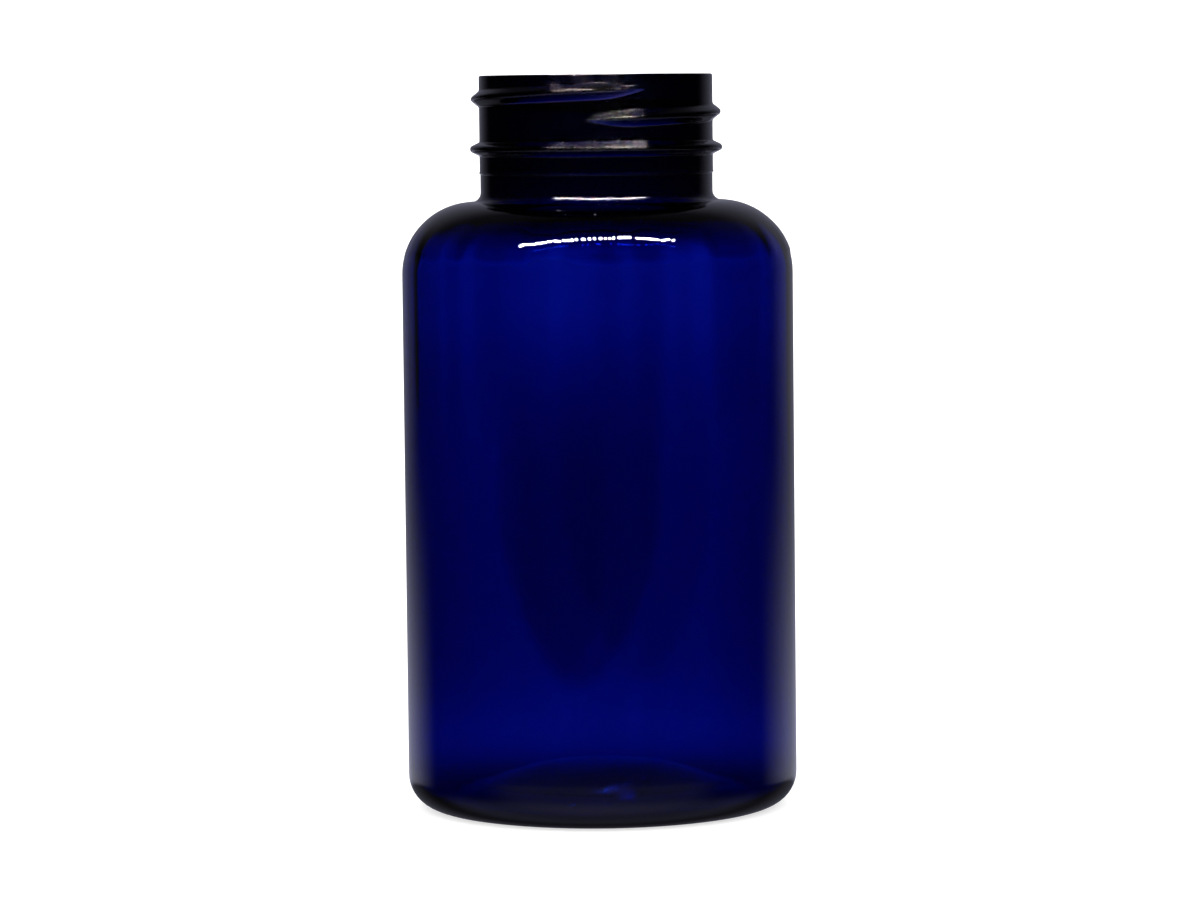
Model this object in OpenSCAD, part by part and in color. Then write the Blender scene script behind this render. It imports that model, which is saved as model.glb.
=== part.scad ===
// Wide-mouth packer bottle for tablets and capsules, with a 38 mm continuous-thread neck.
// One blown piece: standing ring and push-up base, straight body, round shoulder, threaded neck.
// Millimetres. The origin is at the centre of the standing ring, +Z is up and -Y is the front.

/* [Body] */
// Height from the standing ring to the rim
total_h = 110.3; // [70:0.1:160]
// Outer diameter of the straight body
body_d = 58.8; // [46:0.1:90]
// Outer radius of the shoulder curve
shoulder_r = 10.8; // [6:0.1:14]
// Outer radius of the curve between the body and the standing ring
heel_r = 5; // [4:0.1:8]
// Thickness of the blown wall
wall_t = 0.6; // [0.4:0.05:1.5]

/* [Base] */
// Width of the flat standing ring
stand_w = 1.2; // [0.6:0.1:3]
// Radius of the curve from the standing ring up into the push-up
chime_r = 2; // [1:0.1:2.5]
// Height of the push-up at the centre of the base
push_up = 4.8; // [3:0.1:8]
// Thickness of the base over the push-up
base_t = 2.2; // [1:0.05:2.5]
// Diameter of the moulding gate's nub under the base
gate_d = 3; // [2:0.1:6]
// Height of the gate's nub
gate_h = 0.5; // [0.3:0.1:1]

/* [Neck] */
// Height of the neck from the top of the shoulder to the rim
neck_h = 18.9; // [16:0.1:28]
// Outer diameter of the neck at the root of the thread
finish_d = 35.1; // [28:0.05:42]
// Thickness of the neck's wall at the root of the thread
neck_t = 1.7; // [1.3:0.05:2.2]
// Radius of the rim's two edges
rim_r = 0.3; // [0.1:0.05:0.6]
// Radius of the curve where the neck meets the shoulder
neck_fillet_r = 1.4; // [0.5:0.1:3]
// Distance from the rim down to the step in the neck
step_drop = 14.7; // [13.5:0.1:15.5]
// Depth of the step in the neck
step_t = 0.1; // [0.05:0.05:0.3]

/* [Thread] */
// How far the thread stands out from the neck
thread_h = 1.2; // [0.8:0.05:2]
// Rise of the thread in one turn
thread_pitch = 4.233; // [3:0.001:5]
// Turns of the thread, with both run-outs
thread_turns = 1.08; // [0.75:0.01:1.5]
// Distance from the rim down to the middle of the thread's start
thread_drop = 2.2; // [1.8:0.05:3]
// Angle of the thread's start, from the front towards the right
thread_start = 24; // [0:1:360]
// Radius of the thread's rounded crest
thread_crest_r = 0.55; // [0.3:0.05:0.6]
// Slope of the thread's two flanks from the level
thread_flank = 38; // [20:1:45]
// Turn over which each end of the thread runs out
thread_runout = 24; // [10:1:60]

/* [Transfer bead] */
// How far the bead stands out from the neck
bead_h = 1.4; // [0.8:0.05:3]
// Distance from the rim down to the middle of the bead
bead_drop = 11; // [10:0.05:12]
// Radius of the bead's rounded edge
bead_tip_r = 0.6; // [0.2:0.05:0.7]
// Slope of the bead's two flanks from the level
bead_flank = 25; // [15:1:45]

/* [Hidden] */
$fn = 96;

body_r = body_d / 2;
finish_r = finish_d / 2;
bore_r = finish_r - neck_t;
lower_neck_r = finish_r - step_t;

shoulder_z = total_h - neck_h;
arc_x = body_r - shoulder_r;
arc_z = shoulder_z - shoulder_r;
heel_x = body_r - heel_r;
step_z = total_h - step_drop;

// The flare under the bore keeps the wall even round the outer curve at the foot of the neck.
flare_r = neck_fillet_r + lower_neck_r - bore_r;

// The push-up is part of a ball that meets the curve of the standing ring smoothly.
stand_in_r = heel_x - stand_w;
dome_r = (stand_in_r ^ 2 + push_up ^ 2 - 2 * chime_r * push_up) / (2 * push_up);
dome_z = push_up - dome_r;
dome_edge = dome_r / (dome_r + chime_r) * [stand_in_r, chime_r - dome_z] + [0, dome_z];

// How far a ridge's own solid reaches into the wall that carries it
sunk = 0.3;
// Share of its full size that the thread has at its very ends, where it is under the surface
thread_end = 0.12;
thread_sweep = 360 * thread_turns;
thread_rings = ceil(thread_sweep / 5);
crest_steps = 6;

bottle_blue = [0.05, 0.07, 0.42];

// A block of the half section from the axis out to radius r, between two heights
module disc_section(r, z_low, z_high) {
    translate([0, z_low])
        square([r, z_high - z_low]);
}

// The curve that joins a neck of radius r to the shoulder's arc, on the outside or the inside
module neck_curve_section(r, arc_r, fillet_r) {
    reach = max(0, r + fillet_r - arc_x);
    foot = reach > 0 ? arc_x : r + fillet_r;
    centre_z = arc_z + sqrt((arc_r + fillet_r) ^ 2 - reach ^ 2);
    touch = [foot, arc_z] + arc_r / (arc_r + fillet_r) * [reach, centre_z - arc_z];
    difference() {
        polygon([[r - sunk, centre_z], [r + fillet_r, centre_z], touch, [r - sunk, arc_z]]);
        translate([r + fillet_r, centre_z])
            circle(fillet_r);
    }
}

// The body from the heel to the shoulder, thinned by inset: zero is the outside
module body_section(inset) {
    disc_section(body_r - inset, heel_r, arc_z);
    disc_section(arc_x, heel_r, shoulder_z - inset);
    disc_section(heel_x, inset, arc_z);
    translate([arc_x, arc_z])
        intersection() {
            circle(shoulder_r - inset);
            square(shoulder_r);
        }
    translate([heel_x, heel_r])
        intersection() {
            circle(heel_r - inset);
            translate([0, -heel_r])
                square(heel_r);
        }
}

// A ridge round the neck with two sloping flanks and a rounded edge
module bead_section() {
    centre = [finish_r + bead_h - bead_tip_r, total_h - bead_drop];
    touch = bead_tip_r * [sin(bead_flank), cos(bead_flank)];
    root_r = finish_r - sunk;
    root_z = touch.y + (centre.x + touch.x - root_r) * tan(bead_flank);
    polygon([
        [root_r, centre.y - root_z],
        [centre.x + touch.x, centre.y - touch.y],
        [centre.x + touch.x, centre.y + touch.y],
        [root_r, centre.y + root_z]
    ]);
    translate(centre)
        circle(bead_tip_r);
}

// The neck with its rounded rim and the small step below the bead
module neck_section() {
    disc_section(lower_neck_r, arc_z, total_h - rim_r);
    disc_section(finish_r, step_z, total_h - rim_r);
    disc_section(finish_r - rim_r, step_z, total_h);
    translate([finish_r - rim_r, total_h - rim_r])
        circle(rim_r);
    bead_section();
}

// The hollow under the base, with the gate's nub left standing in it
module push_up_section() {
    difference() {
        union() {
            intersection() {
                translate([0, dome_z])
                    circle(dome_r, $fn = 360);
                disc_section(dome_edge.x, -heel_r, push_up);
            }
            difference() {
                disc_section(stand_in_r, -heel_r, dome_edge.y);
                translate([stand_in_r, chime_r])
                    circle(chime_r);
            }
        }
        disc_section(gate_d / 2, push_up - gate_h, push_up);
    }
}

// The space inside the bottle, open at the rim
module inside_section() {
    difference() {
        union() {
            body_section(wall_t);
            disc_section(bore_r, arc_z, total_h + 1);
            neck_curve_section(bore_r, shoulder_r - wall_t, flare_r);
            difference() {
                disc_section(bore_r + rim_r, total_h - rim_r, total_h + 1);
                translate([bore_r + rim_r, total_h - rim_r])
                    circle(rim_r);
            }
        }
        translate([0, dome_z])
            circle(dome_r + base_t, $fn = 360);
    }
}

module shell() {
    rotate_extrude()
        difference() {
            union() {
                body_section(0);
                neck_section();
                neck_curve_section(lower_neck_r, shoulder_r, neck_fillet_r);
            }
            push_up_section();
            inside_section();
        }
}

// Share of the thread's full size at an angle along it
function thread_size(along) =
    let (near_end = min(1, along / thread_runout, (thread_sweep - along) / thread_runout))
    thread_end + (1 - thread_end) * sin(90 * near_end);

// The thread's section: how far each point stands out from its root, and its height
function thread_section() =
    let (
        middle = sunk + thread_h - thread_crest_r,
        touch = thread_crest_r * [sin(thread_flank), cos(thread_flank)],
        root_z = touch.y + (middle + touch.x) * tan(thread_flank),
        top = 90 - thread_flank
    )
    [
        [0, -root_z],
        for (i = [0 : crest_steps])
            let (a = top * (2 * i / crest_steps - 1))
            [middle + thread_crest_r * cos(a), thread_crest_r * sin(a)],
        [0, root_z]
    ];

// One section of the thread, placed at its angle on the neck
function thread_ring(i) =
    let (
        along = thread_sweep * i / thread_rings,
        size = thread_size(along),
        angle = thread_start - 90 - along,
        z = total_h - thread_drop - thread_pitch * along / 360
    )
    [
        for (p = thread_section())
            let (r = finish_r - sunk + size * p.x)
            [r * cos(angle), r * sin(angle), z + size * p.y]
    ];

// A single right-hand thread that fades into the neck at both ends
module thread() {
    count = len(thread_section());
    points = [for (i = [0 : thread_rings]) each thread_ring(i)];
    sides = [
        for (i = [0 : thread_rings - 1], k = [0 : count - 1])
            let (a = i * count + k, b = i * count + (k + 1) % count)
            each [[a, b + count, b], [a, a + count, b + count]]
    ];
    start_cap = [for (k = [0 : count - 1]) k];
    end_cap = [for (k = [count - 1 : -1 : 0]) thread_rings * count + k];
    polyhedron(points, concat(sides, [start_cap, end_cap]), convexity = 4);
}

module bottle() {
    color(bottle_blue)
        union() {
            shell();
            thread();
        }
}

bottle();
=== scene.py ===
"""Cobalt-blue wide-mouth packer bottle with a threaded neck, on a plain white studio floor.

Lengths are in metres. +Z is up and -Y is the front. The bottle stands on z = 0 with its axis on the Z axis.
"""

import math

import bpy
from mathutils import Matrix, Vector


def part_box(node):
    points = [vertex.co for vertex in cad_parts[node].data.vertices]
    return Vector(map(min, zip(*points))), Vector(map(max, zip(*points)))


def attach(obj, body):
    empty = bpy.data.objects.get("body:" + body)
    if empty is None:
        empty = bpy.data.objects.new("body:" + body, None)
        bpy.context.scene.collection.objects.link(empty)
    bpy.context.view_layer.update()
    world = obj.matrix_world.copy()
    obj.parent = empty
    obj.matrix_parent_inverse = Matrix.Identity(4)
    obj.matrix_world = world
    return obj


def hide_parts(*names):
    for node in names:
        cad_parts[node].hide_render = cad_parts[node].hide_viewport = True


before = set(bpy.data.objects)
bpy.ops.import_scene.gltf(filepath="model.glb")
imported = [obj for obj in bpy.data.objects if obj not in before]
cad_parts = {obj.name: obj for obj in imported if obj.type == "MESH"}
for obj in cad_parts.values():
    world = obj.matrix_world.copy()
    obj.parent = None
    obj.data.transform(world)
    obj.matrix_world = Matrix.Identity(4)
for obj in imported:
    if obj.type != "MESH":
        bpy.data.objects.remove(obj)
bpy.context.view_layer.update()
BOTTLE_LOW, BOTTLE_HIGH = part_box("bottle")

MM = 0.001

# The bottle's sizes, from the outside of the CAD bottle and its named dimensions
HEIGHT = BOTTLE_HIGH.z
BODY_R = (BOTTLE_HIGH.y - BOTTLE_LOW.y) / 2
SHOULDER_R = 10.8 * MM
HEEL_R = 5.0 * MM
STAND_W = 1.2 * MM
CHIME_R = 2.0 * MM
PUSH_UP = 4.8 * MM
GATE_R = 1.5 * MM
GATE_H = 0.5 * MM
NECK_H = 18.9 * MM
FINISH_R = 17.55 * MM
BORE_R = 15.85 * MM
RIM_R = 0.3 * MM
STEP_DROP = 14.7 * MM
STEP_T = 0.1 * MM
NECK_FILLET_R = 1.4 * MM

# The thread and the transfer bead: each is a ridge with a round crest and two sloping flanks
THREAD_H = 1.2 * MM
THREAD_PITCH = 4.233 * MM
THREAD_SWEEP = 360 * 1.08
THREAD_DROP = 2.2 * MM
THREAD_START = 24.0
THREAD_RUNOUT = 24.0
THREAD_CREST_R = 0.55 * MM
THREAD_FLANK = 38.0
BEAD_H = 1.4 * MM
BEAD_DROP = 11.0 * MM
BEAD_CREST_R = 0.6 * MM
BEAD_FLANK = 25.0
# How far the flanks of both ridges are rounded into the neck
ROOT_SOFTNESS = 0.12 * MM

# Thickness of the neck, of the rounded heel and of the middle of the base
NECK_T = FINISH_R - BORE_R
HEEL_T = 1.2 * MM
BASE_T = 2.2 * MM
# The base thins from its middle outwards between these two radii
BASE_THICK_R = 9.0 * MM
BASE_THIN_R = 18.5 * MM
# The blown wall: height above the standing plane and thickness there, both in millimetres
WALL_T = (
    (-2.0, 1.20), (0.0, 1.20), (4.0, 0.80), (8.5, 0.53), (20.0, 0.64), (36.0, 0.68), (60.0, 0.62),
    (76.0, 0.50), (80.0, 0.50), (83.0, 0.46), (84.9, 0.49), (86.0, 0.56), (87.1, 0.67), (88.0, 0.80),
    (89.2, 1.0), (91.4, 1.45), (94.0, 1.60), (97.0, 1.60),
)

# Uneven flow of the blown wall and painted shade: its greatest extra thickness, then each thick tongue as
# its angle from the front and half its width in radians, its foot, the rise of its sides and its top. The
# thick tongues
# are painted shade: their deeper blue stands in for the shade behind the bottle that shows through it
FLOW_AND_SHADE_T = 0.34 * MM
FRONT_TONGUE = (-0.115, 0.40, 20 * MM, 20 * MM, 78 * MM)
TONGUE_CORE = (-0.20, 0.22, 21.5 * MM, 12 * MM, 74 * MM)
BACK_TONGUE = (2.92, 0.42, 13.6 * MM, 24 * MM, 74 * MM)
COLLAR_Z = 82.6 * MM
COLLAR_WIDE = 0.9 * MM

# Corners around the turned skin
AROUND = 192

# The plastic: colour of the volume, how fast it absorbs in each metre, and the gloss
TINT = (0.0, 0.27, 0.655, 1)
TINT_DENSITY = 5400.0
SURFACE_TINT = (0.25, 0.35, 0.95, 1)
PET_IOR = 1.575

# The light table under the bottle, the white tent around it and the bar of lamps above the front
FLOOR_WIDE = 12
FLOOR_PALE = (0.55, 0.55, 0.55, 1)
FLOOR_GLOW = 0.63
TENT_LIGHT = 1.8
LED_COUNT = 30
LED_SIZE = 0.0045
LED_TALL = 4.0
LED_HALF_SPAN = 0.195
LED_PLACE = (0.0, -0.132, 0.330)
LED_TURN = (math.radians(26), math.radians(-3), math.radians(6))
LED_GLOW = 520.0

# The camera: its place, how far it looks down and rolls in degrees, and its lens in millimetres
CAMERA_PLACE = (0.00002, -0.700, 0.10672)
CAMERA_DOWN = 4.325
CAMERA_ROLL = -0.61
CAMERA_LENS = 139.6


def arc(centre_r, centre_z, radius, start, end, steps):
    """Points along a round stretch of the section, from one angle to another, in degrees."""
    turns = [math.radians(start + (end - start) * i / steps) for i in range(steps + 1)]
    return [(centre_r + radius * math.cos(a), centre_z + radius * math.sin(a)) for a in turns]


def line(start, end, steps):
    """Points along a straight stretch of the section, without its first one."""
    shares = [(i + 1) / steps for i in range(steps)]
    return [tuple(a + (b - a) * s for a, b in zip(start, end)) for s in shares]


def ridge(offset, height, crest_r, flank):
    """How far a ridge stands out at a distance from its middle line, with a soft root."""
    slope = math.radians(flank)
    away = abs(offset)
    touch = crest_r * math.cos(slope)
    if away < touch:
        out = height - crest_r + math.sqrt(crest_r ** 2 - away ** 2)
    else:
        out = height - crest_r + crest_r * math.sin(slope) - (away - touch) / math.tan(slope)
    return 0.5 * (out + math.sqrt(out ** 2 + ROOT_SOFTNESS ** 2))


def base_section():
    """The underside from the gate's nub out to the standing ring."""
    stand_in = BODY_R - HEEL_R - STAND_W
    dome_r = (stand_in ** 2 + PUSH_UP ** 2 - 2 * CHIME_R * PUSH_UP) / (2 * PUSH_UP)
    dome_z = PUSH_UP - dome_r
    edge = math.degrees(math.atan2(CHIME_R - dome_z, stand_in))
    inner = math.degrees(math.acos(1.25 * GATE_R / dome_r))
    nub_low = PUSH_UP - GATE_H
    nub = [(0.5 * GATE_R, nub_low), (0.8 * GATE_R, nub_low + 0.05 * MM), (GATE_R, nub_low + 0.2 * MM)]
    dome = arc(0, dome_z, dome_r, inner, edge, 12)
    chime = arc(stand_in, CHIME_R, CHIME_R, 180 + edge, 270, 4)
    ring = line((stand_in, 0), (BODY_R - HEEL_R, 0), 2)
    return nub, dome + chime[1:] + ring


def wall_section():
    """The outside from the heel up to the foot of the neck."""
    shoulder_z = HEIGHT - NECK_H
    heel = arc(BODY_R - HEEL_R, HEEL_R, HEEL_R, -90, 0, 12)
    arc_r, arc_z = BODY_R - SHOULDER_R, shoulder_z - SHOULDER_R
    wall = line((BODY_R, HEEL_R), (BODY_R, arc_z), 40)
    foot_r = FINISH_R - STEP_T + NECK_FILLET_R
    foot_z = arc_z + math.sqrt((SHOULDER_R + NECK_FILLET_R) ** 2 - (foot_r - arc_r) ** 2)
    meet = math.degrees(math.atan2(foot_z - arc_z, foot_r - arc_r))
    shoulder = arc(arc_r, arc_z, SHOULDER_R, 0, meet, 20)
    fillet = arc(foot_r, foot_z, NECK_FILLET_R, 180 + meet, 180, 8)
    return heel[1:] + wall + shoulder[1:] + fillet[1:]


def neck_section():
    """The outside of the neck, up over the rim and down the bore: the thread is raised later."""
    low_r = FINISH_R - STEP_T
    step_z = HEIGHT - STEP_DROP
    bead_z = HEIGHT - BEAD_DROP
    foot_z = wall_section()[-1][1]
    points = line((low_r, foot_z), (low_r, step_z - 0.2 * MM), 3)
    points += [(low_r + 0.02 * MM, step_z - 0.05 * MM), (FINISH_R + 0.05 * MM, step_z + 0.02 * MM)]
    points += [(FINISH_R + 0.09 * MM, step_z + 0.10 * MM), (FINISH_R + 0.07 * MM, step_z + 0.17 * MM)]
    points += [(FINISH_R + 0.01 * MM, step_z + 0.28 * MM), (FINISH_R, step_z + 0.40 * MM)]
    reach = 1.6 * MM
    points += line(points[-1], (FINISH_R, bead_z - reach), 2)[:1]
    for i in range(31):
        offset = reach * (i / 15 - 1)
        points.append((FINISH_R + ridge(offset, BEAD_H, BEAD_CREST_R, BEAD_FLANK), bead_z + offset))
    thread_low = HEIGHT - THREAD_DROP - THREAD_PITCH * THREAD_SWEEP / 360 - 1.5 * MM
    points += line(points[-1], (FINISH_R, thread_low), 2)
    points += line((FINISH_R, thread_low), (FINISH_R, HEIGHT - 0.6 * MM), 64)
    points += arc(FINISH_R - RIM_R, HEIGHT - RIM_R, RIM_R, 0, 90, 5)
    points += arc(BORE_R + RIM_R, HEIGHT - RIM_R, RIM_R, 90, 180, 5)
    return points + line((BORE_R, HEIGHT - RIM_R), (BORE_R, foot_z + 1.5 * MM), 10)


def soft(x):
    """Eases from nought at nought to one at one."""
    x = min(1.0, max(0.0, x))
    return x * x * (3 - 2 * x)


def wall_thickness(r, z):
    """The thickness that the blown wall has at a point of its outside."""
    if r < BODY_R - HEEL_R + 0.1 * MM and z < HEEL_R:
        middle = soft((BASE_THIN_R - r) / (BASE_THIN_R - BASE_THICK_R))
        return HEEL_T + (BASE_T - HEEL_T) * middle
    for before, low, high, after in zip(WALL_T, WALL_T[1:], WALL_T[2:], WALL_T[3:]):
        if z <= high[0] * MM:
            step = high[0] - low[0]
            x = (z / MM - low[0]) / step
            slope_low = step * (high[1] - before[1]) / (high[0] - before[0])
            slope_high = step * (after[1] - low[1]) / (after[0] - low[0])
            rise = (high[1] - low[1]) * soft(x)
            bend = slope_low * x * (1 - x) ** 2 - slope_high * x * x * (1 - x)
            return MM * (low[1] + rise + bend)
    return NECK_T - STEP_T


def inside_section(outside):
    """The inner skin, which follows the outside at the wall's own thickness, from the neck down."""
    inner = []
    for i in range(len(outside) - 2, 0, -1):
        (r0, z0), (r, z), (r1, z1) = outside[i - 1], outside[i], outside[i + 1]
        length = math.hypot(r1 - r0, z1 - z0)
        across, up = (z1 - z0) / length, -(r1 - r0) / length
        t = wall_thickness(r, z)
        inner.append((r - t * across, z - t * up))
    return inner


def only(obj):
    """Selects one object and nothing else."""
    bpy.ops.object.select_all(action="DESELECT")
    obj.select_set(True)
    bpy.context.view_layer.objects.active = obj


def apply_modifier(obj, modifier):
    only(obj)
    bpy.ops.object.modifier_apply(modifier=modifier.name)


def raise_by_weight(obj, name, weights, height):
    """Moves the skin out by a height times each vertex's weight."""
    group = obj.vertex_groups.new(name=name)
    for index, weight in weights.items():
        group.add([index], weight, "REPLACE")
    lift = obj.modifiers.new(name, "DISPLACE")
    lift.direction = "NORMAL"
    lift.mid_level = 0.0
    lift.strength = height
    lift.vertex_group = name
    apply_modifier(obj, lift)
    obj.vertex_groups.remove(obj.vertex_groups[name])


def turned_shell(name, section):
    """A closed turned skin: rings are drawn out one after another along the section."""
    first_r, first_z = section[0]
    bpy.ops.object.select_all(action="DESELECT")
    bpy.ops.mesh.primitive_circle_add(
        vertices=AROUND, radius=first_r, fill_type="TRIFAN", location=(0, 0, first_z)
    )
    obj = bpy.context.object
    obj.name = obj.data.name = name
    bpy.ops.object.transform_apply(location=True, rotation=True, scale=True)
    for vertex in obj.data.vertices:
        vertex.select = math.hypot(vertex.co.x, vertex.co.y) > first_r / 2
    for edge in obj.data.edges:
        edge.select = all(obj.data.vertices[i].select for i in edge.vertices)
    for face in obj.data.polygons:
        face.select = False
    bpy.ops.object.mode_set(mode="EDIT")
    bpy.ops.mesh.select_mode(type="EDGE")
    for (r0, z0), (r1, z1) in zip(section, section[1:]):
        bpy.ops.mesh.extrude_edges_move(TRANSFORM_OT_translate={"value": (0, 0, z1 - z0)})
        grow = r1 / r0
        bpy.ops.transform.resize(value=(grow, grow, 1), center_override=(0, 0, z1))
    bpy.ops.mesh.merge(type="CENTER")
    bpy.ops.mesh.select_all(action="SELECT")
    bpy.ops.mesh.normals_make_consistent(inside=False)
    bpy.ops.object.mode_set(mode="OBJECT")
    bpy.ops.object.shade_smooth()
    return obj


def thread_weight(co):
    """Share of the thread's height at a point of the neck's outside."""
    angle = math.degrees(math.atan2(co.x, -co.y))
    best = 0.0
    for lap in (-1, 0, 1):
        along = THREAD_START - angle + 360 * lap
        if not 0 <= along <= THREAD_SWEEP:
            continue
        near_end = min(1.0, along / THREAD_RUNOUT, (THREAD_SWEEP - along) / THREAD_RUNOUT)
        size = math.sin(math.radians(90 * near_end))
        if size < 0.02:
            continue
        middle = HEIGHT - THREAD_DROP - THREAD_PITCH * along / 360
        out = ridge((co.z - middle) / size, THREAD_H, THREAD_CREST_R, THREAD_FLANK)
        best = max(best, size * out / THREAD_H)
    return best if best > 0.004 else 0.0


def raise_thread(obj):
    """Draws the single right-hand thread out of the plain neck."""
    low = HEIGHT - THREAD_DROP - THREAD_PITCH * THREAD_SWEEP / 360 - 2 * MM
    weights = {}
    for vertex in obj.data.vertices:
        co = vertex.co
        if low < co.z < HEIGHT - 0.5 * MM and abs(math.hypot(co.x, co.y) - FINISH_R) < 0.01 * MM:
            weight = thread_weight(co)
            if weight:
                weights[vertex.index] = weight
    raise_by_weight(obj, "thread", weights, THREAD_H)


def tongue(angle, z, middle, width, low, rise, top):
    """Share of a thick tongue in the wall: rounded below, straight at its sides, thinning upwards."""
    # A tongue is painted shade: its extra thickness deepens the blue where shade behind the bottle shows
    # through
    across = math.remainder(angle - middle, 2 * math.pi) / width
    if abs(across) > 1.15:
        return 0.0
    start = (z - low - rise * across ** 2) / (3.5 * MM)
    fade = (top - z) / (26 * MM)
    side = (1.1 - abs(across)) / 0.14
    return soft(start) * soft(fade) * soft(side)


def flow_and_shade_thickness(angle, z):
    """Share of extra thickness in the blown wall: the parison's flow streaks, and tongues of painted shade.
    """
    sway = 0.25 * math.sin(z / (19 * MM) + 1.0)
    waves = math.sin(9 * angle + 0.9 + sway) + 0.8 * math.sin(16 * angle + 2.6 - sway)
    waves += 0.6 * math.sin(29 * angle + 0.3)
    streaks = (0.5 + 0.5 * math.tanh(1.7 * waves)) * (0.25 + 0.75 * soft((z - 52 * MM) / (16 * MM)))
    front = tongue(angle, z, *FRONT_TONGUE)
    core = tongue(angle, z, *TONGUE_CORE)
    back = tongue(angle, z, *BACK_TONGUE)
    ripple = math.sin(5 * angle + 0.7) + 0.6 * math.sin(12 * angle + 2.0)
    collar = math.exp(-(((z - COLLAR_Z - COLLAR_WIDE * ripple) / COLLAR_WIDE) ** 2))
    streaks *= 1 - 0.7 * front
    # The tongues are painted shade: extra thickness that darkens the wall where shade behind the bottle
    # shows through
    tongues = 0.64 * front + 0.30 * core + 0.36 * back
    return 0.05 + 0.30 * streaks + tongues + 0.10 * collar


def uneven_wall(obj):
    """Gives the inner skin the slight unevenness of a blown wall, and the thick tongues of painted shade.
    """
    weights = {}
    top = HEIGHT - NECK_H - 2 * MM
    for vertex in obj.data.vertices:
        co = vertex.co
        r = math.hypot(co.x, co.y)
        if not (HEEL_R < co.z < top and BODY_R - 12 * MM < r < BODY_R - 0.3 * MM):
            continue
        ends = soft((co.z - HEEL_R) / (6 * MM)) * soft((top - co.z) / (4 * MM))
        weights[vertex.index] = ends * flow_and_shade_thickness(math.atan2(co.x, -co.y), co.z)
    raise_by_weight(obj, "flow", weights, FLOW_AND_SHADE_T)


def cobalt_pet():
    """Cobalt-blue PET: clear gloss, a tint that deepens with thickness, faint flow and scuffs."""
    material = bpy.data.materials.new("cobalt_pet")
    material.use_nodes = True
    nodes, links = material.node_tree.nodes, material.node_tree.links
    shader = nodes["Principled BSDF"]
    output = nodes["Material Output"]
    shader.inputs["Base Color"].default_value = SURFACE_TINT
    shader.inputs["Transmission Weight"].default_value = 1.0
    shader.inputs["IOR"].default_value = PET_IOR
    place = nodes.new("ShaderNodeTexCoord")

    def scaled(size):
        node = nodes.new("ShaderNodeMapping")
        node.inputs["Scale"].default_value = size
        links.new(place.outputs["Object"], node.inputs["Vector"])
        return node.outputs["Vector"]

    def noise(vector, scale, detail):
        node = nodes.new("ShaderNodeTexNoise")
        node.inputs["Scale"].default_value = scale
        node.inputs["Detail"].default_value = detail
        links.new(vector, node.inputs["Vector"])
        return node.outputs["Fac"]

    def spread(source, start, end, low, high):
        node = nodes.new("ShaderNodeMapRange")
        for name, value in zip(("From Min", "From Max", "To Min", "To Max"), (start, end, low, high)):
            node.inputs[name].default_value = value
        links.new(source, node.inputs["Value"])
        return node.outputs["Result"]

    def add(one, two):
        node = nodes.new("ShaderNodeMath")
        node.operation = "ADD"
        links.new(one, node.inputs[0])
        links.new(two, node.inputs[1])
        return node.outputs[0]

    # Handling leaves the gloss a little uneven, with short level scuffs where bottles rub together
    haze = noise(scaled((1, 1, 1)), 60.0, 3.0)
    scuffs = noise(scaled((1, 1, 14)), 260.0, 2.0)
    gloss = add(spread(haze, 0.3, 0.7, 0.004, 0.012), spread(scuffs, 0.66, 0.78, 0.0, 0.04))
    links.new(gloss, shader.inputs["Roughness"])
    # The mould and the stretch of the parison leave long shallow waves up the wall
    waves = noise(scaled((1, 1, 0.22)), 150.0, 2.0)
    relief = nodes.new("ShaderNodeBump")
    relief.inputs["Strength"].default_value = 0.25
    relief.inputs["Distance"].default_value = 0.00002
    links.new(waves, relief.inputs["Height"])
    links.new(relief.outputs["Normal"], shader.inputs["Normal"])
    tint = nodes.new("ShaderNodeVolumeAbsorption")
    tint.inputs["Color"].default_value = TINT
    tint.inputs["Density"].default_value = TINT_DENSITY
    links.new(tint.outputs["Volume"], output.inputs["Volume"])
    return material


def build_bottle():
    """The whole bottle as one closed skin, outside and inside."""
    nub, underside = base_section()
    wall = wall_section()
    outside = underside + wall
    neck = neck_section()
    section = nub + outside + neck + inside_section(outside)
    bottle = turned_shell("bottle_shell", section)
    raise_thread(bottle)
    uneven_wall(bottle)
    bottle.data.materials.clear()
    bottle.data.materials.append(cobalt_pet())
    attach(bottle, "root")
    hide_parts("bottle")
    return bottle


def build_floor():
    bpy.ops.object.select_all(action="DESELECT")
    bpy.ops.mesh.primitive_plane_add(size=FLOOR_WIDE)
    floor = bpy.context.object
    floor.name = "studio_floor"
    material = bpy.data.materials.new("white_floor")
    material.use_nodes = True
    shader = material.node_tree.nodes["Principled BSDF"]
    shader.inputs["Base Color"].default_value = FLOOR_PALE
    shader.inputs["Emission Color"].default_value = (1, 1, 1, 1)
    shader.inputs["Emission Strength"].default_value = FLOOR_GLOW
    shader.inputs["Roughness"].default_value = 0.9
    shader.inputs["Specular IOR Level"].default_value = 0.0
    floor.data.materials.append(material)
    floor.visible_glossy = False


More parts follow.
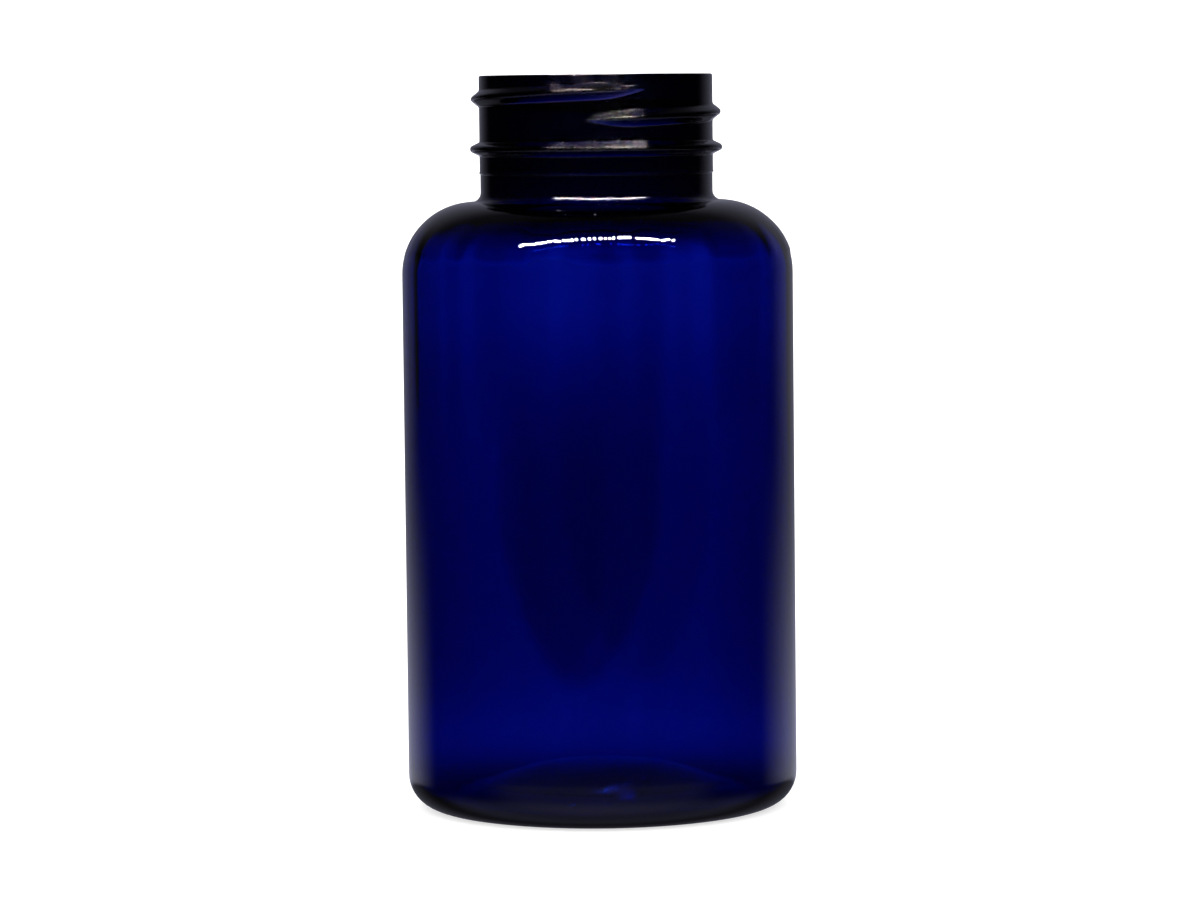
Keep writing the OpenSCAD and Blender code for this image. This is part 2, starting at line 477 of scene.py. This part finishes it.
def build_world():
    """A white tent: even light on the floor, and for reflections dark in front and paler behind."""
    world = bpy.data.worlds.new("white_tent")
    bpy.context.scene.world = world
    world.use_nodes = True
    nodes, links = world.node_tree.nodes, world.node_tree.links
    even = nodes["Background"]
    even.inputs["Color"].default_value = (1, 1, 1, 1)
    even.inputs["Strength"].default_value = TENT_LIGHT
    place = nodes.new("ShaderNodeTexCoord")
    split = nodes.new("ShaderNodeSeparateXYZ")
    links.new(place.outputs["Generated"], split.inputs[0])
    x, y, z = (split.outputs[axis] for axis in "XYZ")

    def ramp(source, start, end, low, high):
        node = nodes.new("ShaderNodeMapRange")
        node.interpolation_type = "SMOOTHSTEP"
        for name, value in zip(("From Min", "From Max", "To Min", "To Max"), (start, end, low, high)):
            node.inputs[name].default_value = value
        links.new(source, node.inputs["Value"])
        return node.outputs["Result"]

    def join(kind, one, two):
        node = nodes.new("ShaderNodeMath")
        node.operation = kind
        links.new(one, node.inputs[0])
        links.new(two, node.inputs[1])
        return node.outputs[0]

    # Backwards, leaning a little to the right, where the tent is brighter
    leaning = nodes.new("ShaderNodeMath")
    leaning.operation = "MULTIPLY_ADD"
    links.new(x, leaning.inputs[0])
    leaning.inputs[1].default_value = 0.08
    links.new(y, leaning.inputs[2])
    back = leaning.outputs[0]

    # The back wall of the tent, dimmer near the floor
    behind = join("MULTIPLY", ramp(back, 0.55, 1.05, 0.004, 0.20), ramp(z, -0.16, -0.05, 0.3, 1.0))
    # The white sheet on the floor behind, which fades out towards the front
    sheet = join("MULTIPLY", ramp(z, -0.07, -0.155, 0.0, 0.40), ramp(z, -0.15, -0.22, 1.0, 0.1))
    sides = join("MULTIPLY", ramp(x, -0.8, 0.8, 1.1, 1.0), ramp(back, 0.34, 0.85, 0.01, 1.0))
    low_floor = join("MULTIPLY", sheet, sides)
    # The dim floor in front, which only the heel and the foot of the wall mirror
    below = join("MULTIPLY", ramp(z, -0.2, -0.7, 0.0, 0.15), ramp(y, 0.1, 0.6, 1.0, 0.15))
    near = join("MULTIPLY", ramp(z, -0.140, -0.156, 0.0, 0.10), ramp(y, -0.2, -0.7, 0.0, 1.0))
    under = join("ADD", below, near)
    # A faint ceiling, towards the back
    overhead = join("MULTIPLY", ramp(z, 0.2, 0.9, 0.0, 0.035), ramp(y, 0.1, 0.6, 0.05, 1.0))
    seen = join("ADD", join("ADD", behind, low_floor), join("ADD", under, overhead))
    mirrored = nodes.new("ShaderNodeBackground")
    mirrored.inputs["Color"].default_value = (0.86, 0.87, 1.15, 1)
    links.new(seen, mirrored.inputs["Strength"])
    # Only reflections see the tent's darker side; light through the plastic sees the even white
    rays = nodes.new("ShaderNodeLightPath")
    choose = nodes.new("ShaderNodeMixShader")
    away = nodes.new("ShaderNodeMath")
    away.operation = "SUBTRACT"
    away.use_clamp = True
    links.new(rays.outputs["Is Glossy Ray"], away.inputs[0])
    links.new(rays.outputs["Is Transmission Ray"], away.inputs[1])
    links.new(away.outputs[0], choose.inputs["Fac"])
    links.new(even.outputs[0], choose.inputs[1])
    links.new(mirrored.outputs[0], choose.inputs[2])
    links.new(choose.outputs[0], nodes["World Output"].inputs["Surface"])


def glowing(name, strength):
    """A plain white light source."""
    material = bpy.data.materials.new(name)
    material.use_nodes = True
    nodes, links = material.node_tree.nodes, material.node_tree.links
    nodes.remove(nodes["Principled BSDF"])
    glow = nodes.new("ShaderNodeEmission")
    glow.inputs["Strength"].default_value = strength
    links.new(glow.outputs[0], nodes["Material Output"].inputs["Surface"])
    return material


def build_led_strip():
    """A bar of small lamps above the front, which leaves dotted highlights."""
    bpy.ops.object.select_all(action="DESELECT")
    bpy.ops.mesh.primitive_plane_add(size=LED_SIZE, location=(-LED_HALF_SPAN, 0, 0))
    strip = bpy.context.object
    strip.name = "led_strip"
    strip.scale.y = LED_TALL
    bpy.ops.object.transform_apply(location=True, rotation=True, scale=True)
    row = strip.modifiers.new("row", "ARRAY")
    row.count = LED_COUNT
    row.use_relative_offset = False
    row.use_constant_offset = True
    row.constant_offset_displace = (2 * LED_HALF_SPAN / (LED_COUNT - 1), 0, 0)
    apply_modifier(strip, row)
    strip.location = LED_PLACE
    strip.rotation_euler = LED_TURN
    only(strip)
    bpy.ops.object.transform_apply(location=True, rotation=True, scale=True)
    strip.data.materials.append(glowing("led_light", LED_GLOW))
    strip.visible_camera = False
    strip.visible_diffuse = False


def build_camera():
    data = bpy.data.cameras.new("camera")
    data.lens = CAMERA_LENS
    data.sensor_width = 36
    data.clip_start = 0.05
    data.clip_end = 30
    camera = bpy.data.objects.new("camera", data)
    bpy.context.scene.collection.objects.link(camera)
    camera.rotation_mode = "XYZ"
    camera.location = CAMERA_PLACE
    down = math.radians(90 - CAMERA_DOWN)
    roll = math.radians(CAMERA_ROLL)
    turn = Matrix.Rotation(down, 3, "X") @ Matrix.Rotation(roll, 3, "Z")
    camera.rotation_euler = turn.to_euler("XYZ")
    bpy.context.scene.camera = camera


def set_tones():
    """White stays white and the deep blue stays deep, as on a contrasty product shot."""
    view = bpy.context.scene.view_settings
    view.view_transform = "Standard"


build_camera()
build_bottle()
build_floor()
build_world()
build_led_strip()
set_tones()
